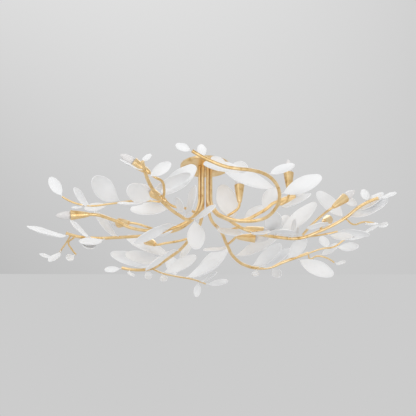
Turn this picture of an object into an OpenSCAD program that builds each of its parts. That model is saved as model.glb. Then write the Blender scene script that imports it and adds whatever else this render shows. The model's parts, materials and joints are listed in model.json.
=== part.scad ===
// Semi-flush ceiling light: eight bent stems leave a flat round canopy, fan out under the
// ceiling as branches, and carry white cupped leaves and twelve candle lamps.
// Units are millimetres. Z points up, the ceiling plane is z = 0 and the canopy is centred on it.

/* [Canopy and mounting] */
// Diameter of the canopy
canopy_d = 200; // [190:1:230]
// Depth of the canopy, from the ceiling to its face
canopy_h = 10; // [9:0.5:30]
// Wall of the canopy
canopy_wall = 1.5; // [1:0.1:2]
// Radius of the canopy's rolled edge
canopy_edge_r = 4; // [2.5:0.5:6]
// Diameter of the mounting plate inside the canopy
plate_d = 160; // [154:1:170]
// Diameter of the wiring hole in the mounting plate
plate_hole_d = 66; // [66:1:70]
// Thickness of the mounting plate
plate_t = 2; // [1.5:0.1:2.2]
// Spacing of the plate's screw slots
slot_spacing = 88.9; // [87:0.1:92]
// Width of a screw slot
slot_w = 4.8; // [4:0.1:6]
// Length of a screw slot
slot_l = 14; // [8:1:16]
// Spacing of the two canopy studs
stud_spacing = 144; // [140:1:148]
// Turn of the line of studs from the line of slots
stud_turn = -43; // [-90:1:-30]
// Diameter of a canopy stud
stud_d = 4.2; // [3:0.1:6]
// Diameter of a canopy nut
nut_d = 12; // [10:0.5:16]
// Height of a canopy nut
nut_h = 9; // [7:0.5:14]
// Diameter of the hub plate inside the canopy
hub_d = 76; // [72:1:86]
// Thickness of the hub plate
hub_t = 3; // [2:0.5:3.5]

/* [Stems and twigs] */
// Diameter of a stem tube
stem_d = 12.7; // [10:0.1:14]
// Radius of the ring that the stems hang from
ring_r = 24; // [23:0.5:28]
// Straight length of a stem below the canopy
stem_straight = 140; // [110:5:150]
// Diameter of the threaded end of a stem
nipple_d = 9.5; // [8:0.1:9.8]
// Width across flats of a stem's lock nut
stem_nut_w = 14; // [12.5:0.5:15]
// Height of a stem's lock nut
stem_nut_h = 2.2; // [1.5:0.1:2.4]
// Diameter of the tube that carries a side lamp
side_d = 9.5; // [8:0.1:11]
// Diameter of a twig
twig_d = 7; // [5:0.1:8]

/* [Lamps] */
// Diameter of a cup at its mouth
cup_d = 39; // [38:0.5:42]
// Length of a cup
cup_l = 72; // [66:1:80]
// Diameter of a cup at its foot
cup_foot_d = 15; // [14.2:0.1:18]
// Wall of a cup
cup_wall = 1.2; // [0.8:0.1:1.4]
// Diameter of a lamp socket
socket_d = 19.5; // [17:0.5:20]
// Length of the socket's barrel
socket_l = 30; // [26:1:34]
// Height of the socket's post above the cup floor
post_l = 20; // [19:1:26]
// Diameter of the bulb's screw base
base_d = 11.9; // [11.5:0.1:12]
// Length of the bulb's screw base
base_l = 21; // [18:0.5:23]
// Largest diameter of the bulb's glass
glass_d = 32; // [28:0.5:33]
// Length of the bulb's glass
glass_l = 77; // [65:1:80]

/* [Leaves] */
// Length of the largest leaf
leaf_xl = 200; // [180:1:206]
// Length of a large leaf
leaf_l = 160; // [140:1:165]
// Length of a middle leaf
leaf_m = 122; // [105:1:126]
// Length of a small leaf
leaf_s = 92; // [80:1:95]
// Length of the smallest leaf
leaf_xs = 66; // [55:1:68]
// Width of the largest leaf
leaf_xl_w = 80; // [70:1:82]
// Width of a large leaf
leaf_l_w = 70; // [60:1:72]
// Width of a middle leaf
leaf_m_w = 56; // [50:1:58]
// Width of a small leaf
leaf_s_w = 42; // [36:1:43]
// Width of the smallest leaf
leaf_xs_w = 33; // [28:1:34]
// Wall of a leaf
leaf_wall = 1.6; // [1:0.1:1.8]
// Diameter of the neck that holds a leaf
neck_d = 3.6; // [3:0.1:4]
// Length of a leaf's neck
neck_l = 9; // [8:0.5:12]

/* [Hidden] */

gold = [0.83, 0.66, 0.33];
leaf_white = [0.95, 0.95, 0.94];
bulb_white = [0.98, 0.95, 0.9];
steel = [0.72, 0.73, 0.74];
phenolic = [0.9, 0.88, 0.82];

seat_gap = 0.3;       // a brazed piece starts this far from the tube it sits on
seat_step = 0.05;     // step in the search for where it starts
butt_gap = 0.1;       // a cup off the end of its tube, and a socket off the cup's floor
thread_gap = 0.1;     // bore over thread
hole_gap = 0.35;      // hole over a nipple or a stud
nipple_gap = 0.6;     // top of a nipple under the mounting plate's lower face
bulb_gap = 0.3;       // bulb base to socket
collar = 1.05;        // radius of the collar where two bends meet, in the tube's radii
collar_half = 1.5;    // half the length of a collar
collar_lap = 0.5;     // two bends stop this far short of the middle of their collar
stud_below_nut = 2;   // the nut's blind end
stem_r = stem_d / 2;
side_r = side_d / 2;
twig_r = twig_d / 2;
neck_r = neck_d / 2;
stem_count = 8;
leaf_bow = 1.7;       // radius of a leaf's bow from back to tip, in its lengths
leaf_hollow = 0.8;    // radius of a leaf's hollow from side to side, in its widths
leaf_widest = 0.54;   // where a leaf is widest, as a share of its length
leaf_sweep = 60;      // turn of the bow that a leaf is cut from
neck_in_leaf = 11.6;  // how far the neck runs on under the leaf
nut_flutes = 12;
flute_r = 1;
flute_depth = 0.6;
nut_bevel = 1;
nut_land = 3;         // hub plate left inside the ring of lock nuts
post_d = 8;
cup_steps = 8;
cup_floor = 2;
base_tip = 4;         // height of the taper at the end of the bulb's base
base_rim = 0.5;       // the base stands this far out of the socket
glass_steps = 18;
glass_neck_d = 14;
glass_widest = 0.42;  // where the glass is widest, as a share of its length

// Leaf sizes: length and width, from the largest to the smallest
leaf_sizes = [[leaf_xl, leaf_xl_w], [leaf_l, leaf_l_w], [leaf_m, leaf_m_w],
    [leaf_s, leaf_s_w], [leaf_xs, leaf_xs_w]];

// Vectors
function unit(v) = v / norm(v);
function aim(az, el) = [cos(el) * cos(az), cos(el) * sin(az), sin(el)];
function frame_at(o, x, y, z) =
    [[x[0], y[0], z[0], o[0]], [x[1], y[1], z[1], o[1]], [x[2], y[2], z[2], o[2]], [0, 0, 0, 1]];
function square_to(d) = unit(cross(abs(d[2]) < 0.9 ? [0, 0, 1] : [1, 0, 0], d));

// A route is a list of points; its tube is a chain of arcs, two to each span, tangent throughout
function turned(t, u) = 2 * (t * u) * u - t;
function inner_tangent(pts, i) =
    let (a = pts[i] - pts[i - 1], b = pts[i + 1] - pts[i])
    unit(unit(a) * norm(b) + unit(b) * norm(a));
function tangents(pts, first, last) = [for (i = [0 : len(pts) - 1])
    i == 0 ? first
    : i < len(pts) - 1 ? inner_tangent(pts, i)
    : norm(last) > 0 ? unit(last)
    : i == 1 ? turned(first, unit(pts[1] - pts[0]))
    : turned(inner_tangent(pts, i - 1), unit(pts[i] - pts[i - 1]))];
function half_way(p, tp, q, tq) =
    let (v = q - p, t = tp + tq, k = 2 * (1 - tp * tq), vt = v * t, vv = v * v,
        d = k < 0.0001 ? vv / (2 * vt) : (sqrt(vt * vt + k * vv) - vt) / k)
    (p + d * tp + q - d * tq) / 2;
// Where a route is at index i, in halves
function spot(pts, tans, i) =
    let (a = floor(i))
    i == a ? pts[a] : half_way(pts[a], tans[a], pts[a + 1], tans[a + 1]);
function heading(pts, tans, i) =
    let (a = floor(i))
    i == a ? tans[a] : turned(tans[a], unit(spot(pts, tans, i) - pts[a]));
// Distance of x from the circle that leaves o in direction h and passes through q
function off_curve(x, o, h, q) =
    let (c = q - o, side = c - (c * h) * h)
    norm(side) < 0.01 * norm(c) ? norm(cross(x - o, h))
    : let (n = unit(side), bend_r = (c * c) / (2 * (c * n)), v = x - o - n * bend_r, rise = v * cross(h, n))
        norm([norm(v - rise * cross(h, n)) - bend_r, rise]);
// Free room between x and the tube of radius big at index i
function room(x, pts, tans, i, big) =
    let (o = spot(pts, tans, i), h = heading(pts, tans, i), along = (x - o) * h, ahead = along > 0)
    min(norm([max(abs(along) - collar_half, 0), max(norm(cross(x - o, h)) - big * collar, 0)]),
        ahead && i == len(pts) - 1 ? norm(x - o)
        : off_curve(x, o, h, spot(pts, tans, i + (ahead ? 0.5 : -0.5))) - big);
// How far along d a piece of radius r starts, to stand just off the tube that carries it
function seat(pts, tans, i, big, r, d) = seat_from(pts, tans, i, big, r, d, i == len(pts) - 1 ? 0 : big);
function seat_from(pts, tans, i, big, r, d, from) =
    let (o = spot(pts, tans, i) + d * from, e = square_to(d), f = cross(d, e),
        least = min([for (a = [0 : 30 : 330]) room(o + r * (cos(a) * e + sin(a) * f), pts, tans, i, big)]))
    min(least, room(o, pts, tans, i, big)) >= seat_gap ? from
    : seat_from(pts, tans, i, big, r, d, from + seat_step);

// A tube on the arc from p, heading t, to q. Its ends stop short by before and after, inside the collars.
module arc_tube(p, t, q, r, before, after) {
    c = q - p;
    side = c - (c * t) * t;
    if (norm(side) < 0.01 * norm(c)) {
        z = unit(c);
        x = square_to(z);
        multmatrix(frame_at(p + z * before, x, cross(z, x), z))
            cylinder(r = r, h = norm(c) - before - after, $fn = 24);
    } else {
        n = unit(side);
        bend_r = (c * c) / (2 * (c * n));
        bend = 2 * atan2(c * n, c * t);
        turn = 180 / PI / bend_r;
        multmatrix(frame_at(p + n * bend_r, -n, t, cross(-n, t)))
            rotate([0, 0, before * turn]) rotate_extrude(angle = bend - (before + after) * turn, $fn = 96)
                translate([bend_r, 0]) circle(r = r, $fn = 24);
    }
}

module collar_at(p, t, r) {
    x = square_to(t);
    multmatrix(frame_at(p - t * collar_half, x, cross(t, x), t))
        cylinder(r = r * collar, h = 2 * collar_half, $fn = 24);
}

module tube_span(pts, tans, r, i, start, end) {
    mid = half_way(pts[i], tans[i], pts[i + 1], tans[i + 1]);
    mid_t = turned(tans[i], unit(mid - pts[i]));
    arc_tube(pts[i], tans[i], mid, r, start, collar_lap);
    collar_at(mid, mid_t, r);
    arc_tube(mid, mid_t, pts[i + 1], r, collar_lap, end);
}

// Spans a to b of a tube, joined two by two
module tube_run(pts, tans, r, a, b, start, end) union() {
    c = floor((a + b) / 2);
    if (a == b) tube_span(pts, tans, r, a, start, end);
    else {
        tube_run(pts, tans, r, a, c, start, collar_lap);
        collar_at(pts[c + 1], tans[c + 1], r);
        tube_run(pts, tans, r, c + 1, b, collar_lap, end);
    }
}

// Its start is trimmed where another piece of tube leads into it, and a tip with no lamp ends in a collar
module bent_tube(pts, tans, r, start, tip_collar) {
    last = len(pts) - 1;
    tube_run(pts, tans, r, 0, last - 1, start, tip_collar ? collar_lap : 0);
    if (tip_collar) collar_at(pts[last], tans[last], r);
}

// Stem routes, from the foot of the straight part; points chosen by eye in round numbers
stem_ways = [
    // 1: front left
    [[-30, -35, -222], [-60, -50, -252], [-110, -100, -248], [-160, -170, -230], [-195, -250, -212],
        [-215, -330, -196], [-228, -405, -166]],
    // 2: left, to a lamp
    [[-45, -12, -222], [-95, -15, -262], [-190, -15, -285], [-290, -20, -277], [-355, -60, -260],
        [-445, -118, -259]],
    // 3: left, the long one
    [[-42, 16, -215], [-90, 35, -252], [-190, 85, -262], [-345, 140, -257], [-460, 170, -249],
        [-530, 172, -240], [-568, 165, -230]],
    // 4: back left
    [[-16, 50, -215], [-60, 165, -250], [-105, 260, -268], [-165, 345, -282], [-230, 430, -292],
        [-300, 470, -285], [-360, 482, -272]],
    // 5: back right
    [[22, 50, -210], [62, 110, -240], [90, 200, -268], [116, 280, -288], [160, 345, -302],
        [220, 385, -305], [280, 402, -295], [335, 402, -272], [440, 392, -236]],
    // 6: right, to a lamp
    [[45, -22, -210], [85, -42, -248], [145, -50, -256], [225, -55, -220], [283, -60, -182]],
    // 7: right, the long one
    [[45, 14, -205], [85, 22, -222], [138, 35, -252], [212, 52, -274], [278, 55, -286],
        [378, 60, -289], [459, 60, -259], [560, 50, -207], [619, 30, -165], [690, 10, -137]],
    // 8: the loop across the front
    [[35, -45, -215], [77, -68, -250], [154, -98, -279], [235, -130, -274], [273, -180, -248],
        [278, -250, -228], [258, -322, -211], [218, -380, -203], [162, -422, -205], [118, -442, -209],
        [76, -456, -208], [28, -476, -198], [-6, -492, -188], [-45, -510, -171]]];
// Angle of each stem on the ring, and the end heading of those that end in a lamp
stem_angles = [247.5, 202.5, 157.5, 112.5, 67.5, 337.5, 22.5, 292.5];
stem_ends = [[0, 0, 0], [-1, -0.1, -0.08], [0, 0, 0], [0, 0, 0], [0, 0, 0], [1, 0, 0.2],
    [0, 0, 0], [0, 0, 0]];

function ring_spot(k, z) = [ring_r * cos(stem_angles[k]), ring_r * sin(stem_angles[k]), z];
function stem_pts(k) = concat([ring_spot(k, -canopy_h - stem_straight)], stem_ways[k]);
function stem_tans(k) = tangents(stem_pts(k), [0, 0, -1], stem_ends[k]);

// Side pieces spring from a stem: [stem, index on it, way, end heading]
lamp_tube_list = [
    [0, 4, [[-155, -225, -200], [-162, -262, -182], [-190, -288, -174], [-207, -298, -163]],
        [-0.84, -0.22, 0.49]],
    [0, 1, [[-72, -62, -212], [-105, -82, -216], [-138, -96, -208], [-152, -100, -197]],
        [-0.85, -0.21, 0.48]],
    [1, 3, [[-228, 10, -262], [-275, 15, -245], [-302, 25, -238]], [-0.6, 0.75, 0.28]],
    [3, 2, [[-100, 175, -258], [-155, 192, -262], [-205, 210, -262]], [-0.5, 0.7, 0.5]],
    [4, 2, [[100, 105, -236], [135, 101, -230], [162, 100, -233]], [0.98, 0.08, -0.17]],
    [4, 3, [[110, 172, -260], [131, 160, -249]], [0.99, 0.1, 0]],
    [6, 6, [[408, 40, -258], [458, 15, -215], [505, -20, -188]], [0.73, 0.23, 0.65]],
    [6, 7, [[470, 75, -225], [480, 100, -200]], [0.35, 0.85, 0.4]],
    [7, 2, [[110, -76, -232], [130, -75, -212], [134, -73, -190]], [0, 0, 1]],
    [7, 5, [[300, -182, -236], [316, -184, -212], [320, -185, -186]], [0, 0, 1]]];
twig_list = [
    [0, 4, [[-192, -182, -230], [-274, -190, -232], [-360, -200, -248], [-430, -200, -256],
        [-492, -200, -245], [-540, -200, -220]], [0, 0, 0]],
    [2, 6.5, [[-572, 225, -246], [-602, 290, -258], [-628, 350, -275]], [0, 0, 0]],
    [2, 6, [[-562, 202, -258], [-551, 230, -276], [-536, 252, -290]], [0, 0, 0]],
    [3, 5, [[-190, 480, -295], [-127, 535, -293], [-60, 575, -292], [0, 628, -296]], [0, 0, 0]],
    [4, 9, [[448, 420, -249], [488, 438, -232], [528, 444, -240], [556, 444, -259]], [0, 0, 0]],
    [4, 9, [[499, 378, -220], [550, 388, -208], [604, 384, -173], [665, 380, -147]], [0, 0, 0]],
    [6, 6, [[440, 85, -270], [485, 97, -258], [532, 100, -246]], [0, 0, 0]],
    [6, 8, [[590, 72, -224], [645, 86, -210], [690, 90, -215]], [0, 0, 0]]];

function side_pts(row, r) =
    let (p = stem_pts(row[0]), t = stem_tans(row[0]), base = spot(p, t, row[1]), d = unit(row[2][0] - base))
    concat([base + d * seat(p, t, row[1], stem_r, r, d)], row[2]);
function side_tans(row, r) =
    let (p = side_pts(row, r))
    tangents(p, unit(p[1] - p[0]), row[3]);

// Leaves: [index on the route, azimuth, elevation, roll, size]
leaf_rows = [
    [[1.5, -57, -78, 40, 1], [2, -30, 0, 60, 2], [2.5, -55, 23, 90, 1], [3, -72, 10, 130, 2],
        [3.5, 140, 3, -60, 1], [4.5, 41, 37, 50, 0], [5, 34, 44, 150, 1], [6, 23, 37, 90, 3],
        [6.5, -150, -5, -40, 3], [7, 70, 30, 0, 4]],
    [[2, -155, -14, -160, 0]],
    [[3, -60, -28, 30, 2], [4, -139, 13, -70, 1], [4.5, -151, -31, -50, 2], [5, -138, 5, -60, 2],
        [5, -105, -51, -30, 2], [6.5, -144, -19, -40, 0]],
    [[2, -100, -69, 30, 2], [3, -145, -20, -160, 0], [3.5, 162, 15, -50, 0], [4, -177, -4, -70, 1],
        [4.5, -175, 0, -65, 0], [5.5, -45, -50, 60, 4], [6.5, -75, -52, -10, 4], [7, 165, -10, -75, 4]],
    [[1.5, -43, -43, 30, 1], [3, -129, -39, -20, 1], [4, -8, 11, 60, 0], [5.5, -23, 17, 80, 1],
        [6, -25, 8, 65, 1], [6, -109, -55, -20, 4], [7, -50, -48, 60, 3], [8, -30, 35, 110, 2],
        [8.5, 10, -30, 90, 1]],
    [[3, 48, 27, 40, 2], [4, 60, 50, 40, 2]],
    [[3.5, -48, -33, 30, 2], [4.5, -59, 4, 180, 1], [5, 13, 32, 50, 0], [5, -100, 28, -165, 1],
        [5.5, -64, 9, 90, 2], [6, 126, 46, -40, 2], [7.5, -146, -2, -170, 2], [8, 138, 40, -40, 1],
        [8, 5, 16, 60, 1], [8.5, 5, 23, 50, 2], [9, 135, 35, -80, 4], [9.5, 99, 47, -30, 4],
        [10, -10, 0, 50, 4]],
    [[2.5, 102, 47, -30, 0], [5, -39, -14, 50, 1], [6, 16, 20, 70, 1], [6.5, 163, 15, -60, 0],
        [8, 42, 18, 35, 2], [9, 155, 5, -50, 1], [9, 113, 28, -80, 3], [10.5, 164, 29, -90, 4],
        [13, 100, 46, -10, 4], [14, 136, 26, -60, 4]]];
twig_leaf_rows = [
    [[1, -135, 5, -120, 1], [1.5, -126, -38, -20, 1], [2.5, -130, 10, -115, 0], [3, 144, -5, -70, 3],
        [4, -128, 3, -80, 2], [4.5, -120, -42, -20, 4], [6, 141, 52, -60, 3]],
    [[2, -127, -59, -20, 3], [3, -160, -5, -50, 4]],
    [[3, -131, -39, -70, 4]],
    [[1, -9, 12, 70, 1], [1, -58, -57, 40, 4], [2, 109, 46, -20, 2], [2.5, -10, 12, 60, 1],
        [3, 18, 37, 60, 0], [3.5, 100, -30, 180, 4], [3.5, -43, -10, 50, 2], [4, 0, -5, 60, 3]],
    [[2, 23, 26, 50, 3], [4, -48, -26, 50, 4]],
    [[1.5, 100, 34, -10, 3], [2, -6, -8, 80, 3], [3, -36, -19, 40, 3], [4, -40, -9, 50, 3]],
    [[2, -2, -17, 70, 3], [3, -11, 4, 170, 2]],
    [[2, -66, -39, 20, 3], [3, -48, -32, 60, 4]]];

// A leaf's outline: two side arcs from a pointed back, closed by five short edges round the tip
module leaf_outline(len, wid) {
    half = wid / 2;
    mid = len * leaf_widest;
    front = len - mid;
    side_r = (mid * mid + half * half) / (2 * half);
    tip_r = (2 * side_r * half - front * front - half * half) / (2 * side_r - 2 * front);
    step = atan2(side_r - half, front - tip_r) / 3;
    corner_r = tip_r / cos(step / 2);
    tip = [for (i = [-2 : 1]) let (a = (i + 0.5) * step)
        [len - tip_r + corner_r * cos(a), corner_r * sin(a)]];
    back = tip[3] + len * [-sin(2 * step), cos(2 * step)];
    intersection() {
        translate([mid, half - side_r]) circle(r = side_r, $fn = 180);
        translate([mid, side_r - half]) circle(r = side_r, $fn = 180);
        polygon(concat([[-neck_l, back[1]], [-neck_l, -back[1]], [back[0], -back[1]]], tip, [back]));
    }
}

// A leaf with its neck along +X from the origin, hollow side up
module leaf(len, wid) {
    long_r = leaf_bow * len;
    cross_r = leaf_hollow * wid;
    lift = asin(len / 2 / long_r);
    translate([neck_l, 0, 0]) rotate([0, -lift, 0]) intersection() {
        translate([0, 0, -len / 4]) linear_extrude(height = len / 2) leaf_outline(len, wid);
        translate([len / 2, 0, long_r * cos(lift)]) rotate([90, 0, 0])
            rotate([0, 0, -90 - leaf_sweep / 2]) rotate_extrude(angle = leaf_sweep, $fn = 96)
                translate([long_r - cross_r, 0]) difference() {
                    circle(r = cross_r + leaf_wall / 2, $fn = 64);
                    circle(r = cross_r - leaf_wall / 2, $fn = 64);
                }
    }
    rotate([0, 90, 0]) cylinder(r = neck_r, h = neck_l + neck_in_leaf, $fn = 16);
}

module leaf_on(pts, tans, big, row) {
    d = aim(row[1], row[2]);
    up = unit([0, 0, 1] - d[2] * d);
    n = cos(row[3]) * up + sin(row[3]) * cross(d, up);
    size = leaf_sizes[row[4]];
    start = seat(pts, tans, row[0], big, neck_r, d);
    multmatrix(frame_at(spot(pts, tans, row[0]) + d * start, d, cross(n, d), n)) leaf(size[0], size[1]);
}

module leaves(k) color(leaf_white) {
    pts = stem_pts(k);
    tans = stem_tans(k);
    for (row = leaf_rows[k]) leaf_on(pts, tans, stem_r, row);
    for (i = [0 : len(twig_list) - 1])
        if (twig_list[i][0] == k)
            for (row = twig_leaf_rows[i])
                leaf_on(side_pts(twig_list[i], twig_r), side_tans(twig_list[i], twig_r), twig_r, row);
}

module stem(k) color(gold) {
    translate(ring_spot(k, -canopy_h)) cylinder(d = nipple_d, h = canopy_h - plate_t - nipple_gap, $fn = 32);
    translate(ring_spot(k, collar_lap - canopy_h - stem_straight))
        cylinder(r = stem_r, h = stem_straight - collar_lap, $fn = 24);
    collar_at(ring_spot(k, -canopy_h - stem_straight), [0, 0, -1], stem_r);
    bent_tube(stem_pts(k), stem_tans(k), stem_r, collar_lap, norm(stem_ends[k]) == 0);
}

module lamp_tubes(k) color(gold) {
    for (row = lamp_tube_list)
        if (row[0] == k) bent_tube(side_pts(row, side_r), side_tans(row, side_r), side_r, 0, false);
}

module twigs(k) color(gold) {
    for (row = twig_list)
        if (row[0] == k) bent_tube(side_pts(row, twig_r), side_tans(row, twig_r), twig_r, 0, true);
}

module stem_rings(r, h) for (k = [0 : stem_count - 1])
    translate(ring_spot(k, 0)) cylinder(r = r, h = h, $fn = 32);

module canopy() color(gold) difference() {
    rotate_extrude($fn = 180) difference() {
        union() {
            translate([0, -canopy_h]) square([canopy_d / 2 - canopy_edge_r, canopy_h]);
            translate([0, canopy_edge_r - canopy_h]) square([canopy_d / 2, canopy_h - canopy_edge_r]);
            translate([canopy_d / 2 - canopy_edge_r, canopy_edge_r - canopy_h])
                circle(r = canopy_edge_r, $fn = 48);
        }
        translate([-1, canopy_wall - canopy_h]) square([canopy_d / 2 - canopy_edge_r + 1, canopy_h]);
        translate([-1, canopy_edge_r - canopy_h]) square([canopy_d / 2 - canopy_wall + 1, canopy_h]);
        translate([canopy_d / 2 - canopy_edge_r, canopy_edge_r - canopy_h])
            circle(r = canopy_edge_r - canopy_wall, $fn = 48);
        translate([-canopy_d, -canopy_h - 1]) square([canopy_d, canopy_h + 2]);
    }
    translate([0, 0, -canopy_h - 1]) stem_rings(nipple_d / 2 + hole_gap, canopy_h);
    for (s = [-1, 1]) rotate([0, 0, stud_turn]) translate([s * stud_spacing / 2, 0, -canopy_h - 1])
        cylinder(r = stud_d / 2 + hole_gap, h = canopy_h, $fn = 32);
}

module hub_plate() color(steel) translate([0, 0, canopy_wall - canopy_h]) difference() {
    cylinder(d = hub_d, h = hub_t, $fn = 96);
    translate([0, 0, -1]) stem_rings(nipple_d / 2 + hole_gap, hub_t + 2);
    translate([0, 0, -1]) cylinder(r = ring_r - stem_nut_w / 2 - nut_land, h = hub_t + 2, $fn = 48);
}

module stem_nuts() color(steel) for (k = [0 : stem_count - 1])
    translate(ring_spot(k, canopy_wall + hub_t - canopy_h)) rotate([0, 0, stem_angles[k]]) difference() {
        cylinder(d = stem_nut_w / cos(30), h = stem_nut_h, $fn = 6);
        translate([0, 0, -1]) cylinder(r = nipple_d / 2 + thread_gap, h = stem_nut_h + 2, $fn = 32);
    }

module mounting_plate() color(steel) {
    difference() {
        translate([0, 0, -plate_t]) cylinder(d = plate_d, h = plate_t, $fn = 128);
        translate([0, 0, -plate_t - 1]) cylinder(d = plate_hole_d, h = plate_t + 2, $fn = 96);
        for (s = [-1, 1]) translate([s * slot_spacing / 2, 0, -plate_t - 1]) {
            for (e = [-1, 1]) translate([e * (slot_l - slot_w) / 2, 0, 0])
                cylinder(d = slot_w, h = plate_t + 2, $fn = 32);
            translate([(slot_w - slot_l) / 2, -slot_w / 2, 0]) cube([slot_l - slot_w, slot_w, plate_t + 2]);
        }
    }
    for (s = [-1, 1]) rotate([0, 0, stud_turn])
        translate([s * stud_spacing / 2, 0, stud_below_nut - canopy_h - nut_h])
            cylinder(d = stud_d, h = canopy_h + nut_h - stud_below_nut - plate_t / 2, $fn = 32);
}

module canopy_nut(s) color(gold) rotate([0, 0, stud_turn])
    translate([s * stud_spacing / 2, 0, -canopy_h - nut_h]) difference() {
        union() {
            translate([0, 0, nut_bevel]) cylinder(d = nut_d, h = nut_h - nut_bevel, $fn = 48);
            cylinder(d1 = nut_d - 2 * nut_bevel, d2 = nut_d, h = nut_bevel, $fn = 48);
        }
        translate([0, 0, stud_below_nut - thread_gap])
            cylinder(r = stud_d / 2 + thread_gap, h = nut_h, $fn = 32);
        for (i = [1 : nut_flutes]) rotate([0, 0, 360 * i / nut_flutes])
            translate([nut_d / 2 + flute_r - flute_depth, 0, -1])
                cylinder(r = flute_r, h = nut_h + 2, $fn = 16);
    }

// Lamps: the end and the heading of the tube that each one stands on
function lamp_end(i) =
    i == 0 ? stem_pts(1)[len(stem_pts(1)) - 1]
    : i == 1 ? stem_pts(5)[len(stem_pts(5)) - 1]
    : lamp_tube_list[i - 2][2][len(lamp_tube_list[i - 2][2]) - 1];
function lamp_aim(i) = unit(i == 0 ? stem_ends[1] : i == 1 ? stem_ends[5] : lamp_tube_list[i - 2][3]);

module at_lamp(i) {
    z = lamp_aim(i);
    x = square_to(z);
    multmatrix(frame_at(lamp_end(i) + z * butt_gap, x, cross(z, x), z)) children();
}

function cup_r(s) = (cup_foot_d + (cup_d - cup_foot_d) * pow(s, 0.75)) / 2;
module cup(i) color(gold) at_lamp(i) rotate_extrude($fn = 64)
    polygon(concat([[0, 0]],
        [for (j = [0 : cup_steps]) [cup_r(j / cup_steps), cup_l * j / cup_steps]],
        [for (j = [cup_steps : -1 : 1]) [cup_r(j / cup_steps) - cup_wall, cup_l * j / cup_steps]],
        [[cup_r(cup_floor / cup_l) - cup_wall, cup_floor], [0, cup_floor]]));

module sockets() color(phenolic) for (i = [0 : 11]) at_lamp(i) difference() {
    union() {
        translate([0, 0, cup_floor + butt_gap]) cylinder(d = post_d, h = post_l, $fn = 32);
        translate([0, 0, cup_floor + post_l]) cylinder(d = socket_d, h = socket_l, $fn = 48);
    }
    translate([0, 0, cup_floor + post_l + socket_l - base_l - bulb_gap])
        cylinder(r = base_d / 2 + bulb_gap, h = base_l + 1, $fn = 48);
}

function glass_r(s) = s < glass_widest
    ? (glass_neck_d + (glass_d - glass_neck_d) * (1 - cos(180 * s / glass_widest)) / 2) / 2
    : glass_d / 2 * pow(1 - pow((s - glass_widest) / (1 - glass_widest), 2), 0.75);
module bulb(i) color(bulb_white) at_lamp(i) translate([0, 0, cup_floor + post_l + socket_l])
    rotate_extrude($fn = 64) polygon(concat(
        [[0, -base_l], [base_d / 4, -base_l], [base_d / 2, base_tip - base_l], [base_d / 2, base_rim]],
        [for (j = [0 : glass_steps - 1]) [glass_r(j / glass_steps), base_rim + glass_l * j / glass_steps]],
        [[0, base_rim + glass_l]]));

canopy();
mounting_plate();
hub_plate();
canopy_nut(-1);  // canopy_nut_1
canopy_nut(1);  // canopy_nut_2
stem_nuts();
stem(0);  // stem_1
stem(1);  // stem_2
stem(2);  // stem_3
stem(3);  // stem_4
stem(4);  // stem_5
stem(5);  // stem_6
stem(6);  // stem_7
stem(7);  // stem_8
lamp_tubes(0);  // lamp_tubes_1
lamp_tubes(1);  // lamp_tubes_2
lamp_tubes(3);  // lamp_tubes_4
lamp_tubes(4);  // lamp_tubes_5
lamp_tubes(6);  // lamp_tubes_7
lamp_tubes(7);  // lamp_tubes_8
twigs(0);  // twigs_1
twigs(2);  // twigs_3
twigs(3);  // twigs_4
twigs(4);  // twigs_5
twigs(6);  // twigs_7
leaves(0);  // leaves_1
leaves(1);  // leaves_2
leaves(2);  // leaves_3
leaves(3);  // leaves_4
leaves(4);  // leaves_5
leaves(5);  // leaves_6
leaves(6);  // leaves_7
leaves(7);  // leaves_8
cup(0);  // cup_1
cup(1);  // cup_2
cup(2);  // cup_3
cup(3);  // cup_4
cup(4);  // cup_5
cup(5);  // cup_6
cup(6);  // cup_7
cup(7);  // cup_8
cup(8);  // cup_9
cup(9);  // cup_10
cup(10);  // cup_11
cup(11);  // cup_12
sockets();
bulb(0);  // bulb_1
bulb(1);  // bulb_2
bulb(2);  // bulb_3
bulb(3);  // bulb_4
bulb(4);  // bulb_5
bulb(5);  // bulb_6
bulb(6);  // bulb_7
bulb(7);  // bulb_8
bulb(8);  // bulb_9
bulb(9);  // bulb_10
bulb(10);  // bulb_11
bulb(11);  // bulb_12
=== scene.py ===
import json
import math
import random

import bmesh
import bpy
import numpy as np
from mathutils import Matrix, Vector


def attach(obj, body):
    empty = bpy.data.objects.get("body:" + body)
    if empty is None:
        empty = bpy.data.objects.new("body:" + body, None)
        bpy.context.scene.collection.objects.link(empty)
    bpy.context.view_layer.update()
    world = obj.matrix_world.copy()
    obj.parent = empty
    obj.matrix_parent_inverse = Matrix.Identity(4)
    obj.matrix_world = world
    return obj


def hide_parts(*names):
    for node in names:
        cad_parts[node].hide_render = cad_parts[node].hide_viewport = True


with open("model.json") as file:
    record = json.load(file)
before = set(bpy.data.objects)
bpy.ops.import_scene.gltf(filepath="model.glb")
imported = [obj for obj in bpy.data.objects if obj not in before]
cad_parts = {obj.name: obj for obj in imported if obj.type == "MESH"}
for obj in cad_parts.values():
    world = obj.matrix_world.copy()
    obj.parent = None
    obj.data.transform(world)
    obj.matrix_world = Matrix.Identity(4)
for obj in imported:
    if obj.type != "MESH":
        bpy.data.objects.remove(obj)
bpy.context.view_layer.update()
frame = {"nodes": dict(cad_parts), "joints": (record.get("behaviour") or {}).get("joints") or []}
nodes = frame["nodes"]
joints = {joint["child"]: joint for joint in frame["joints"]}
scene = bpy.context.scene
print("frame loaded:", len(nodes), "nodes")

camera = {
    "distance": 4.5,      # metres from the middle of the canopy
    "below": 24.0,        # degrees below it
    "up": 21.82,          # degrees the lens points up
    "right": 0.154,       # degrees it points to the right
    "lens": 96.58,        # mm
    "sensor": 36,         # mm
    "farthest": 60,       # metres that it sees
}


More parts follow.
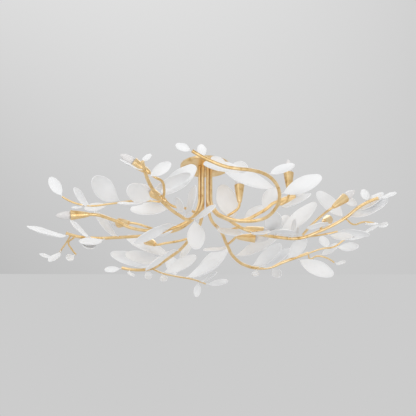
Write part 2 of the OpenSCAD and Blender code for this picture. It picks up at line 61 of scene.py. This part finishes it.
def makeCamera(c):
    data = bpy.data.cameras.new("camera")
    data.lens = c["lens"]
    data.sensor_width = c["sensor"]
    data.clip_end = c["farthest"]
    cam = bpy.data.objects.new("camera", data)
    below = math.radians(c["below"])
    cam.location = (0, -c["distance"] * math.cos(below), -c["distance"] * math.sin(below))
    cam.rotation_euler = (math.radians(90 + c["up"]), 0, math.radians(-c["right"]))
    scene.collection.objects.link(cam)
    scene.camera = cam


makeCamera(camera)
scene.view_settings.view_transform = "Standard"


# Node helpers, used by the finishes and the backdrop
def newMaterial(name):
    mat = bpy.data.materials.new(name)
    mat.use_nodes = True
    return mat, mat.node_tree, mat.node_tree.nodes["Principled BSDF"]


def addNode(tree, kind, place, **values):
    node = tree.nodes.new(kind)
    node.location = place
    for key, value in values.items():
        if key in node.inputs:
            node.inputs[key].default_value = value
        else:
            setattr(node, key, value)
    return node


def maths(tree, place, operation, *values):
    node = addNode(tree, "ShaderNodeMath", place, operation=operation)
    for socket, value in zip(node.inputs, values):
        if isinstance(value, (int, float)):
            socket.default_value = value
        else:
            tree.links.new(value, socket)
    return node.outputs[0]


def spread(tree, place, value, low, high, first, last):
    # maps low..high of a value to first..last, and holds it there beyond
    node = addNode(tree, "ShaderNodeMapRange", place)
    tree.links.new(value, node.inputs["Value"])
    limits = {"From Min": low, "From Max": high, "To Min": first, "To Max": last}
    for socket, number in limits.items():
        node.inputs[socket].default_value = number
    return node.outputs["Result"]


def noise(tree, place, vector, scale, detail, roughness=0.5):
    node = addNode(tree, "ShaderNodeTexNoise", place,
                   Scale=scale, Detail=detail, Roughness=roughness)
    tree.links.new(vector, node.inputs["Vector"])
    return node.outputs["Fac"]


def paint(tree, shader, place, value, *stops):
    # colours the surface by a value, along a ramp of (place on the ramp, colour) stops
    ramp = addNode(tree, "ShaderNodeValToRGB", place)
    bands = ramp.color_ramp.elements
    while len(bands) < len(stops):
        bands.new(0.5)
    for band, (at, colour) in zip(bands, stops):
        band.position = at
        band.color = (*colour, 1)
    tree.links.new(value, ramp.inputs["Fac"])
    tree.links.new(ramp.outputs["Color"], shader.inputs["Base Color"])


def bumps(tree, place, height, strength, depth):
    node = addNode(tree, "ShaderNodeBump", place, Strength=strength, Distance=depth)
    tree.links.new(height, node.inputs["Height"])
    return node


goldLeaf = {
    "worn": (0.40, (0.66, 0.40, 0.14)),      # place on the ramp, colour
    "middle": (0.55, (0.89, 0.63, 0.30)),
    "light": (0.82, (0.97, 0.75, 0.44)),
    "sheets": 24.0,               # sheets of leaf to a metre
    "sheetsUneven": 0.9,
    "sheetTone": 0.3,             # how much their tones differ
    "wear": (34.0, 4.0, 0.7),     # each noise: scale, detail, roughness
    "grain": (150.0, 6.0, 0.6),
    "crinkle": 0.22,
    "crinkleDepth": 0.0006,
    "roughness": (0.30, 0.48),
    "lacquer": 0.2,
    "lacquerRoughness": 0.3,
}


def makeGold(g):
    mat, tree, shader = newMaterial("goldLeaf")
    place = addNode(tree, "ShaderNodeTexCoord", (-1300, 0)).outputs["Object"]
    sheets = addNode(tree, "ShaderNodeTexVoronoi", (-1050, 250),
                     Scale=g["sheets"], Randomness=g["sheetsUneven"])
    tree.links.new(place, sheets.inputs["Vector"])
    wear = noise(tree, (-1050, -350), place, *g["wear"])
    tone = maths(tree, (-800, 150), "MULTIPLY_ADD", sheets.outputs["Color"], g["sheetTone"], wear)
    paint(tree, shader, (-560, 150), tone, g["worn"], g["middle"], g["light"])
    grain = noise(tree, (-1050, -50), place, *g["grain"])
    rough = spread(tree, (-560, -150), grain, 0, 1, *g["roughness"])
    tree.links.new(rough, shader.inputs["Roughness"])
    crinkles = bumps(tree, (-300, -350), grain, g["crinkle"], g["crinkleDepth"])
    tree.links.new(crinkles.outputs["Normal"], shader.inputs["Normal"])
    shader.inputs["Metallic"].default_value = 1.0
    shader.inputs["Coat Weight"].default_value = g["lacquer"]
    shader.inputs["Coat Roughness"].default_value = g["lacquerRoughness"]
    return mat


plaster = {
    "shade": (0.30, (0.87, 0.874, 0.88)),
    "white": (0.62, (0.92, 0.924, 0.93)),
    "clouds": (9.0, 3.0),           # scale and detail of the change between the two
    "grain": (420.0, 5.0, 0.65),
    "grainBump": (0.08, 0.0004),    # strength, and depth in metres
    "streaks": (380.0, 10.0),       # brush streaks to a metre, across and along a leaf
    "streakNoise": (1.0, 3.0, 0.6),
    "streakBump": (0.26, 0.0006),
    "roughness": 0.55,
    "specular": 0.4,
}


def makeLeafWhite(p):
    mat, tree, shader = newMaterial("leafWhite")
    coords = addNode(tree, "ShaderNodeTexCoord", (-1100, 0)).outputs
    clouds = noise(tree, (-700, 150), coords["Object"], *p["clouds"])
    paint(tree, shader, (-460, 150), clouds, p["shade"], p["white"])
    grain = noise(tree, (-700, -250), coords["Object"], *p["grain"])
    pores = bumps(tree, (-450, -250), grain, *p["grainBump"])
    blade = addNode(tree, "ShaderNodeVectorMath", (-900, -550), operation="MULTIPLY")
    blade.inputs[1].default_value = (*p["streaks"], 1)
    tree.links.new(coords["UV"], blade.inputs[0])
    streaks = noise(tree, (-700, -550), blade.outputs[0], *p["streakNoise"])
    grooves = bumps(tree, (-250, -350), streaks, *p["streakBump"])
    tree.links.new(pores.outputs["Normal"], grooves.inputs["Normal"])
    tree.links.new(grooves.outputs["Normal"], shader.inputs["Normal"])
    shader.inputs["Roughness"].default_value = p["roughness"]
    shader.inputs["Specular IOR Level"].default_value = p["specular"]
    return mat


frosted = {
    "clear": (0.3, (0.82, 0.80, 0.80)),
    "milky": (0.7, (0.90, 0.88, 0.87)),
    "clouds": (60.0, 3.0),
    "roughness": 0.38,
    "seeThrough": 0.1,
    "ior": 1.3,
    "gloss": 0.3,
    "glossRoughness": 0.15,
}


def makeFrosted(f):
    mat, tree, shader = newMaterial("frostedGlass")
    place = addNode(tree, "ShaderNodeTexCoord", (-1000, 0)).outputs["Object"]
    clouds = noise(tree, (-700, 150), place, *f["clouds"])
    paint(tree, shader, (-460, 150), clouds, f["clear"], f["milky"])
    shader.inputs["Roughness"].default_value = f["roughness"]
    shader.inputs["Transmission Weight"].default_value = f["seeThrough"]
    shader.inputs["IOR"].default_value = f["ior"]
    shader.inputs["Coat Weight"].default_value = f["gloss"]
    shader.inputs["Coat Roughness"].default_value = f["glossRoughness"]
    return mat


zincPlate = {
    "dark": (0.35, (0.60, 0.61, 0.62)),
    "light": (0.65, (0.74, 0.75, 0.76)),
    "clouds": (90.0, 4.0),
    "roughness": 0.34,
    "metallic": 1.0,
}
shellBrass = {
    "dark": (0.35, (0.66, 0.58, 0.42)),
    "light": (0.65, (0.80, 0.72, 0.55)),
    "clouds": (160.0, 4.0),
    "roughness": 0.3,
    "metallic": 1.0,
}
socketSleeve = {
    "dark": (0.35, (0.84, 0.81, 0.74)),
    "light": (0.65, (0.92, 0.90, 0.85)),
    "clouds": (260.0, 3.0),
    "roughness": 0.5,
    "metallic": 0.0,
}


def makePlain(name, p):
    mat, tree, shader = newMaterial(name)
    place = addNode(tree, "ShaderNodeTexCoord", (-1000, 0)).outputs["Object"]
    clouds = noise(tree, (-700, 150), place, *p["clouds"])
    paint(tree, shader, (-460, 150), clouds, p["dark"], p["light"])
    shader.inputs["Roughness"].default_value = p["roughness"]
    shader.inputs["Metallic"].default_value = p["metallic"]
    return mat


gold = makeGold(goldLeaf)
leafWhite = makeLeafWhite(plaster)
frostedGlass = makeFrosted(frosted)
zinc = makePlain("zincPlate", zincPlate)
brass = makePlain("shellBrass", shellBrass)
sleeve = makePlain("socketSleeve", socketSleeve)
print("finishes made")


# The CAD nodes get their finish here, also those that a piece below replaces
def dress(name, mat):
    mesh = nodes[name].data
    mesh.materials.clear()
    mesh.materials.append(mat)


for name in nodes:
    if name.startswith(("stem_nuts", "hub", "mounting")):
        dress(name, zinc)
    elif name.startswith(("leaves", "bulb")):
        dress(name, leafWhite)
    elif name == "sockets":
        dress(name, sleeve)
    else:
        dress(name, gold)
print("CAD nodes dressed")


# Mesh helpers
def meshObject(name, verts, faces, mats):
    mesh = bpy.data.meshes.new(name)
    mesh.from_pydata([tuple(v) for v in verts], [], faces)
    for mat in mats:
        mesh.materials.append(mat)
    mesh.shade_smooth()
    obj = bpy.data.objects.new(name, mesh)
    scene.collection.objects.link(obj)
    return obj


def withoutRepeats(corners):
    return [v for n, v in enumerate(corners) if v not in corners[:n]]


def lathe(profile, place, around):
    # turns (radius, height) pairs round the Z of place; a radius of 0 closes an end
    verts, faces, rings = [], [], []
    for radius, height in profile:
        if radius == 0:
            rings.append([len(verts)] * around)
            verts.append(place @ Vector((0, 0, height)))
            continue
        rings.append(range(len(verts), len(verts) + around))
        for i in range(around):
            turn = 2 * math.pi * i / around
            x, y = radius * math.cos(turn), radius * math.sin(turn)
            verts.append(place @ Vector((x, y, height)))
    for low, high in zip(rings, rings[1:]):
        for i in range(around):
            j = (i + 1) % around
            faces.append(withoutRepeats([low[i], low[j], high[j], high[i]]))
    return verts, faces


def shifted(faces, count):
    return [[v + count for v in face] for face in faces]


def hardEdges(obj, degrees):
    # turns all faces outwards, and keeps the edges crisp that are sharper than this
    mesh = obj.data
    bm = bmesh.new()
    bm.from_mesh(mesh)
    bmesh.ops.recalc_face_normals(bm, faces=bm.faces)
    for edge in bm.edges:
        edge.smooth = edge.calc_face_angle(0) < math.radians(degrees)
    bm.to_mesh(mesh)
    bm.free()


def finished(obj):
    # swaps the object's mesh for the one its modifiers make
    seen = obj.evaluated_get(bpy.context.evaluated_depsgraph_get())
    result = bpy.data.meshes.new_from_object(seen)
    obj.modifiers.clear()
    obj.data = result


# Lamps: each stands on the axis that its bulb turns about
def lampPlace(child, node):
    joint = joints[child]
    axis = Vector(joint["axis"]).normalized()
    start = Vector(joint["pos_m"])
    low = min((v.co - start).dot(axis) for v in nodes[node].data.vertices)
    side = axis.orthogonal().normalized()
    turn = Matrix((side, axis.cross(side), axis)).transposed().to_4x4()
    return Matrix.Translation(start + axis * low) @ turn


cup = {
    "foot": 0.0075,              # radius at the foot
    "mouth": 0.0195,             # radius at the mouth
    "length": 0.072,
    "wall": 0.0012,
    "floor": 0.002,
    "flare": 0.75,               # below 1 the cup opens fast near its foot
    "footBevel": (0.0004, 0.0005),     # inwards, upwards
    "floorBevel": (0.0006, 0.001),
    "lipBead": 0.0003,           # how much the rolled lip is thicker than the wall
    "lipTurn": range(-60, 241, 30),    # degrees round the lip
    "steps": 28,
    "around": 72,
    "crisp": 50,                 # degrees
}


def cupProfile(c):
    top = c["length"] - c["wall"] / 2
    middle = c["mouth"] - c["wall"] / 2
    outside = []
    for i in range(c["steps"] + 1):
        s = i / c["steps"]
        radius = c["foot"] + (c["mouth"] - c["foot"]) * s ** c["flare"]
        outside.append((radius, top * i / c["steps"]))
    inwards, upwards = c["footBevel"]
    foot = [(0, 0), (c["foot"] - inwards, 0.0), (c["foot"], upwards)]
    lip = []
    for degrees in c["lipTurn"]:
        a = math.radians(degrees)
        half = (c["wall"] / 2 + c["lipBead"]) / 2
        lip.append((middle + c["wall"] / 2 * math.cos(a), top + half + half * math.sin(a)))
    corner, rise = c["floorBevel"]
    inside = [(radius - c["wall"], height)
              for radius, height in outside[:0:-1] if height > c["floor"] + rise]
    floor = [(inside[-1][0] - corner, c["floor"]), (0, c["floor"])]
    return foot + outside[1:-1] + lip + inside[1:] + floor


bulb = {
    "tip": [(0, 0), (0.0022, 0.0002), (0.0032, 0.0012)],    # radius and height of the contact
    "shell": 0.00595,            # radius of the screw shell
    "shellLength": 0.0215,
    "shoulder": (0.0006, 0.004),       # how much narrower the shell starts, and where
    "thread": 0.00025,           # depth of the thread
    "threadSpan": (0.0048, 0.003),     # from the tip, and from the shell's top
    "turns": 7,
    "turnSteps": 4,
    "glass": 0.016,              # largest radius of the glass
    "glassNeck": 0.007,
    "glassLength": 0.077,
    "lap": 0.0004,               # how far the glass starts inside the shell
    "widest": 0.42,              # where the glass is widest, as a share of its length
    "point": 0.75,               # a larger number makes the end more pointed
    "steps": 40,
    "around": 40,
    "crisp": 50,
}


def shellProfile(b):
    inwards, shoulder = b["shoulder"]
    rows = b["tip"] + [(b["shell"] - inwards, shoulder)]
    low, high = b["threadSpan"][0], b["shellLength"] - b["threadSpan"][1]
    count = b["turns"] * b["turnSteps"]
    for i in range(count + 1):
        dip = b["thread"] * (1 - math.cos(2 * math.pi * i / b["turnSteps"])) / 2
        rows.append((b["shell"] - dip, low + (high - low) * i / count))
    return rows + [(b["shell"], b["shellLength"]), (0, b["shellLength"])]


def glassProfile(b):
    rows = [(0, b["shellLength"] - b["lap"])]
    for i in range(b["steps"]):
        s = math.sin(math.pi / 2 * i / b["steps"])
        if s < b["widest"]:
            swell = (1 - math.cos(math.pi * s / b["widest"])) / 2
            radius = b["glassNeck"] + (b["glass"] - b["glassNeck"]) * swell
        else:
            beyond = (s - b["widest"]) / (1 - b["widest"])
            radius = b["glass"] * (1 - beyond ** 2) ** b["point"]
        rows.append((radius, b["shellLength"] + b["glassLength"] * s))
    return rows + [(0, b["shellLength"] + b["glassLength"])]


lamps = 12
for i in range(1, lamps + 1):
    place = lampPlace(f"bulb_{i}", f"cup_{i}")
    piece = meshObject(f"flaredCup_{i}", *lathe(cupProfile(cup), place, cup["around"]), [gold])
    hardEdges(piece, cup["crisp"])
    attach(piece, "fixture")
    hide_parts(f"cup_{i}")

    place = lampPlace(f"bulb_{i}", f"bulb_{i}")
    shellVerts, shellFaces = lathe(shellProfile(bulb), place, bulb["around"])
    glassVerts, glassFaces = lathe(glassProfile(bulb), place, bulb["around"])
    piece = meshObject(f"candleBulb_{i}", shellVerts + glassVerts,
                       shellFaces + shifted(glassFaces, len(shellVerts)), [brass, frostedGlass])
    for n, face in enumerate(piece.data.polygons):
        face.material_index = int(n >= len(shellFaces))
    hardEdges(piece, bulb["crisp"])
    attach(piece, f"bulb_{i}")
    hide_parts(f"bulb_{i}")
print("cups and bulbs made")


leaf = {
    "sizes": [(0.200, 0.080), (0.160, 0.070), (0.122, 0.056), (0.092, 0.042), (0.066, 0.033)],
    "widest": 0.54,       # where it is widest, as a share of its length
    "bow": 1.7,           # radius of the bow from back to tip, in lengths
    "hollow": 0.8,        # radius of the hollow from side to side, in widths
    "wall": 0.0016,
    "lip": 0.002,         # width of the thicker rim
    "lipWall": 1.35,      # its thickness, in walls
    "lipRound": 0.38,     # bevel of its edges, in walls
    "lipSteps": 2,
    "sharp": 45,          # edges over so many degrees are bevelled
    "ribs": 5,            # side by side, running from back to tip
    "ribDepth": 0.00022,
    "wave": 0.0006,       # how far the rim wanders up and down
    "wavePhase": (0, 6.28),
    "waveBeat": (1.6, 2.6),
    "sidesApart": 1.3,    # how much the two sides' waves differ
    "along": 30,
    "across": 12,
    "crisp": 60,          # degrees
    "seed": 11,
}

neck = {
    "length": 0.009,      # before the leaf starts
    "under": 0.0116,      # how far it runs on under the leaf
    "radius": 0.0018,
    "bevel": 0.0004,
    "taper": [(1, 0.55), (0.85, 0.8), (0.6, 0.93), (0.3, 0.985), (0, 1)],    # shares of both
    "around": 16,
}

reading = {
    "same": 5,            # places equal to so many decimals of a metre are one point
    "end": 0.003,         # depth of the slice that is looked at on each end of a leaf
    "ring": 6,            # decimals kept for the ring of points round a neck's end
    "order": 4,           # decimals kept when the leaves are put in order
}


def islands(mesh):
    # labels each vertex with its solid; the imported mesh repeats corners
    places = np.empty(len(mesh.vertices) * 3)
    mesh.vertices.foreach_get("co", places)
    places = places.reshape(-1, 3)
    rounded = np.round(places, reading["same"])
    point = np.unique(rounded, axis=0, return_inverse=True)[1].ravel()
    owner = list(range(point.max() + 1))

    def find(a):
        while owner[a] != a:
            owner[a] = owner[owner[a]]
            a = owner[a]
        return a

    for edge in mesh.edges:
        a, b = (find(point[v]) for v in edge.vertices)
        if a != b:
            owner[a] = b
    return places, np.array([find(p) for p in point])


def roundness(points):
    return np.linalg.norm(points - points.mean(axis=0), axis=1).max()


def leafPlaces(mesh):
    # where each leaf of a CAD node starts, which way it points and which side is hollow
    places, labels = islands(mesh)
    corner = np.array([face.vertices[0] for face in mesh.polygons])
    area = np.array([face.area for face in mesh.polygons])
    centre = np.array([face.center for face in mesh.polygons])
    straight = math.cos(math.asin(0.5 / leaf["bow"]))
    found = []
    for label in np.unique(labels):
        points = places[labels == label]
        mine = labels[corner] == label
        middle = (centre[mine] * area[mine, None]).sum(axis=0) / area[mine].sum()
        longWay = np.linalg.svd(points - middle, full_matrices=False)[2][0]
        reach = (points - middle) @ longWay
        front = points[reach > reach.max() - reading["end"]]
        back = points[reach < reach.min() + reading["end"]]
        ring = min(front, back, key=roundness)
        ring = np.unique(np.round(ring, reading["ring"]), axis=0)
        root = ring.mean(axis=0)
        ahead = np.linalg.svd(ring - root)[2][2]
        ahead *= np.sign(ahead @ (middle - root))
        up = (middle - root) - ahead * (ahead @ (middle - root))
        up /= np.linalg.norm(up)
        length = ((points - root) @ ahead).max() - neck["length"]
        size = min(leaf["sizes"], key=lambda s: abs(s[0] * straight - length))
        turn = Matrix((ahead, np.cross(up, ahead), up)).transposed().to_4x4()
        found.append((Matrix.Translation(Vector(root)) @ turn, size))
    found.sort(key=lambda f: tuple(round(v, reading["order"]) for v in f[0].translation))
    return found


def halfWidth(x, length, width):
    # two arcs: a wide one along the side and a small one round the tip
    half, middle = width / 2, length * leaf["widest"]
    front = length - middle
    sideR = (middle ** 2 + half ** 2) / (2 * half)
    tipR = (2 * sideR * half - front ** 2 - half ** 2) / (2 * sideR - 2 * front)
    turnover = middle + (front - tipR) * sideR / (sideR - tipR)
    if x < turnover:
        return max(math.sqrt(sideR ** 2 - (x - middle) ** 2) - (sideR - half), 0)
    return math.sqrt(max(tipR ** 2 - (x - length + tipR) ** 2, 0))


def leafGrid(place, size, rng):
    # the middle surface of one leaf, a bowed spoon with its point at the back and a round tip,
    # and for each of its points the places across and along it, and whether it is on the lip
    length, width = size
    longR, crossR = leaf["bow"] * length, leaf["hollow"] * width
    lift = math.asin(length / 2 / longR)
    top = longR * math.cos(lift)
    phase = rng.uniform(*leaf["wavePhase"])
    beat = rng.uniform(*leaf["waveBeat"])
    shift = rng.uniform(0, 1)
    settle = (place @ Matrix.Translation((neck["length"], 0, 0))
              @ Matrix.Rotation(-lift, 4, "Y"))
    verts, marks, rows = [], [], []
    for i in range(leaf["along"] + 1):
        s = (1 - math.cos(math.pi * i / leaf["along"])) / 2
        x = s * length
        half = halfWidth(x, length, width)
        fade = math.sin(math.pi * s)
        row = []
        for j in range(leaf["across"] + 1):
            t = math.sin(math.pi * (j / leaf["across"] - 0.5))
            if half < 1e-6 and row:     # the points at the back and the tip
                row.append(row[0])
                continue
            y = half * t
            rho = longR - crossR + math.sqrt(crossR ** 2 - y ** 2)
            z = top - math.sqrt(rho ** 2 - (x - length / 2) ** 2)
            z += leaf["ribDepth"] * fade * math.cos(leaf["ribs"] * math.pi * t)
            wave = beat * math.pi * s * 2 + phase + (leaf["sidesApart"] if t > 0 else 0)
            z += leaf["wave"] * fade * t * t * math.sin(wave)
            row.append(len(verts))
            verts.append(settle @ Vector((x, y, z)))
            marks.append((y + shift, x, min(half - abs(y), length - x) < leaf["lip"]))
        rows.append(row)
    faces = []
    for back, front in zip(rows, rows[1:]):
        for j in range(leaf["across"]):
            faces.append(withoutRepeats([back[j], front[j], front[j + 1], back[j + 1]]))
    return verts, faces, marks


def neckParts(place):
    r, end = neck["radius"], neck["length"] + neck["under"]
    profile = [(0, 0), (r * 0.9, 0), (r, neck["bevel"])]
    profile += [(r * across, end * along) for across, along in neck["taper"]]
    turn = Matrix.Rotation(math.radians(90), 4, "Y")
    return lathe(profile, place @ turn, neck["around"])


def thicken(piece, marks):
    # gives the middle surface its wall, which is thicker along the lip, and rounds the edges
    lip = piece.vertex_groups.new(name="lip")
    for n, mark in enumerate(marks):
        lip.add([n], 1.0 if mark[2] else 1 / leaf["lipWall"], "REPLACE")
    wall = piece.modifiers.new("wall", "SOLIDIFY")
    wall.thickness = leaf["wall"] * leaf["lipWall"]
    wall.vertex_group = lip.name
    wall.offset = 0
    rim = piece.modifiers.new("rim", "BEVEL")
    rim.width = leaf["wall"] * leaf["lipRound"]
    rim.segments = leaf["lipSteps"]
    rim.limit_method = "ANGLE"
    rim.angle_limit = math.radians(leaf["sharp"])
    finished(piece)


def makeLeaves(node, rng):
    verts, faces, marks, neckVerts, neckFaces = [], [], [], [], []
    places = leafPlaces(nodes[node].data)
    for place, size in places:
        blade, bladeFaces, bladeMarks = leafGrid(place, size, rng)
        faces += shifted(bladeFaces, len(verts))
        verts += blade
        marks += bladeMarks
        stalk, stalkFaces = neckParts(place)
        neckFaces += shifted(stalkFaces, len(neckVerts))
        neckVerts += stalk
    piece = meshObject(node + "_shells", verts, faces, [leafWhite])
    streaks = piece.data.uv_layers.new(name="blade")
    flat = [c for loop in piece.data.loops for c in marks[loop.vertex_index][:2]]
    streaks.data.foreach_set("uv", flat)
    thicken(piece, marks)
    necks = meshObject("necks", neckVerts, neckFaces, [leafWhite])
    bm = bmesh.new()
    bm.from_mesh(piece.data)
    bm.from_mesh(necks.data)
    bm.to_mesh(piece.data)
    bm.free()
    bpy.data.objects.remove(necks)
    piece.data.shade_smooth()
    hardEdges(piece, leaf["crisp"])
    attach(piece, "fixture")
    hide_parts(node)
    return len(places)


stems = 8
rng = random.Random(leaf["seed"])
total = sum(makeLeaves(f"leaves_{k}", rng) for k in range(1, stems + 1))
print("leaves made:", total)


studio = {
    "floorDrop": 6.0,             # metres from the ceiling plane to the floor
    "floorRadius": 40.0,
    "floorCorners": 96,
    "floorShade": (0.3, (0.788, 0.788, 0.788)),
    "floorLight": (0.7, (0.80, 0.80, 0.80)),
    "floorClouds": (3.0, 2.0),
    "floorRoughness": 0.9,
    "ambient": 0.78,              # light from all round
    "boxes": [                    # name, place, size, watts
        ("leftBox", (-2.0, -4.6, -1.0), 2.2, 26),
        ("rightBox", (2.4, -4.2, -2.2), 2.4, 46),
        ("keyBox", (-1.2, -2.2, 1.8), 1.4, 12),
        ("backBox", (0.6, 1.8, 2.0), 1.6, 12),
    ],
    "aim": (0, 0, -0.2),          # what the boxes face
    "backdrop": {
        "below": 0.604,           # tone under the horizon line
        "line": 0.316,            # how high the line stands, as the sine of the angle
        "wall": (0.590, 0.735),   # tones of the wall at the line and high above it
        "high": 0.54,
        "paintedSideShade": 0.07,         # painted shade: how much the wall darkens towards both sides
        "paintedCornerShade": 0.05,            # and how much more painted shade at the lower left and the upper right
        "side": 0.18,             # how far out the sides are, as a sine too
    },
}


def makeFloor(s):
    mat, tree, shader = newMaterial("paleFloor")
    place = addNode(tree, "ShaderNodeTexCoord", (-1000, 0)).outputs["Object"]
    clouds = noise(tree, (-700, 150), place, *s["floorClouds"])
    paint(tree, shader, (-460, 150), clouds, s["floorShade"], s["floorLight"])
    shader.inputs["Roughness"].default_value = s["floorRoughness"]
    radius, corners = s["floorRadius"], s["floorCorners"]
    turns = [2 * math.pi * i / corners for i in range(corners)]
    edge = [(radius * math.cos(a), radius * math.sin(a), -s["floorDrop"]) for a in turns]
    meshObject("floor", edge, [range(corners)], [mat])


def wallTone(tree, b):
    # the backdrop's grey for each direction: a wall above the horizon line, a plain tone under it;
    # the wall carries painted shade, darker towards both sides and more so at the lower left and
    # the upper right
    coords = addNode(tree, "ShaderNodeTexCoord", (-1700, 200))
    parts = addNode(tree, "ShaderNodeSeparateXYZ", (-1500, 200))
    tree.links.new(coords.outputs["Generated"], parts.inputs[0])
    side = spread(tree, (-1250, 350), parts.outputs["X"], -b["side"], b["side"], -1, 1)
    # a little higher towards the sides, so that the line comes out straight in the picture
    half = maths(tree, (-1700, -200), "MULTIPLY", parts.outputs["X"], 0.5)
    raised = maths(tree, (-1550, -200), "MULTIPLY_ADD", half, parts.outputs["X"], 1)
    level = maths(tree, (-1400, -50), "MULTIPLY", parts.outputs["Z"], raised)
    height = spread(tree, (-1250, 50), level, b["line"], b["high"], 0, 1)
    wall = spread(tree, (-1000, -150), height, 0, 1, *b["wall"])
    upDown = spread(tree, (-1000, 50), height, 0, 1, -b["paintedCornerShade"], b["paintedCornerShade"])
    # painted shade on the wall: darker towards the sides, and more at the lower left and the upper
    # right
    cornerShade = maths(tree, (-800, 250), "MULTIPLY_ADD", side, upDown, -1)
    sideShade = maths(tree, (-800, 450), "MULTIPLY", side, b["paintedSideShade"])
    paintedShade = maths(tree, (-600, 350), "MULTIPLY_ADD", sideShade, side, cornerShade)
    shaded = maths(tree, (-500, 50), "MULTIPLY", wall, paintedShade)
    extra = maths(tree, (-400, 250), "MULTIPLY_ADD", shaded, -1, -b["below"])
    above = maths(tree, (-1000, 650), "GREATER_THAN", level, b["line"])
    return maths(tree, (-200, 350), "MULTIPLY_ADD", extra, above, b["below"])


def makeWorld(s):
    # the camera, metal and glass see the backdrop, and everything else is lit by plain white
    world = bpy.data.worlds.new("studio")
    scene.world = world
    world.use_nodes = True
    tree = world.node_tree
    tree.nodes.clear()
    seen = addNode(tree, "ShaderNodeBackground", (0, 250), Strength=1.0)
    tree.links.new(wallTone(tree, s["backdrop"]), seen.inputs["Color"])
    lit = addNode(tree, "ShaderNodeBackground", (0, 50), Color=(1, 1, 1, 1), Strength=s["ambient"])
    rays = addNode(tree, "ShaderNodeLightPath", (-500, 800)).outputs
    either = maths(tree, (-250, 800), "MAXIMUM", rays["Is Camera Ray"], rays["Is Glossy Ray"])
    shown = maths(tree, (0, 600), "MAXIMUM", either, rays["Is Transmission Ray"])
    mix = addNode(tree, "ShaderNodeMixShader", (250, 250))
    for socket, value in zip(mix.inputs, (shown, lit.outputs[0], seen.outputs[0])):
        tree.links.new(value, socket)
    out = addNode(tree, "ShaderNodeOutputWorld", (450, 250))
    tree.links.new(mix.outputs[0], out.inputs["Surface"])


def makeBoxes(s):
    for name, place, size, watts in s["boxes"]:
        data = bpy.data.lights.new(name, "AREA")
        data.shape = "SQUARE"
        data.size = size
        data.energy = watts
        lamp = bpy.data.objects.new(name, data)
        lamp.location = place
        towards = Vector(s["aim"]) - Vector(place)
        lamp.rotation_euler = towards.to_track_quat("-Z", "Y").to_euler()
        scene.collection.objects.link(lamp)


makeFloor(studio)
makeWorld(studio)
makeBoxes(studio)
print("floor, backdrop and lights made")
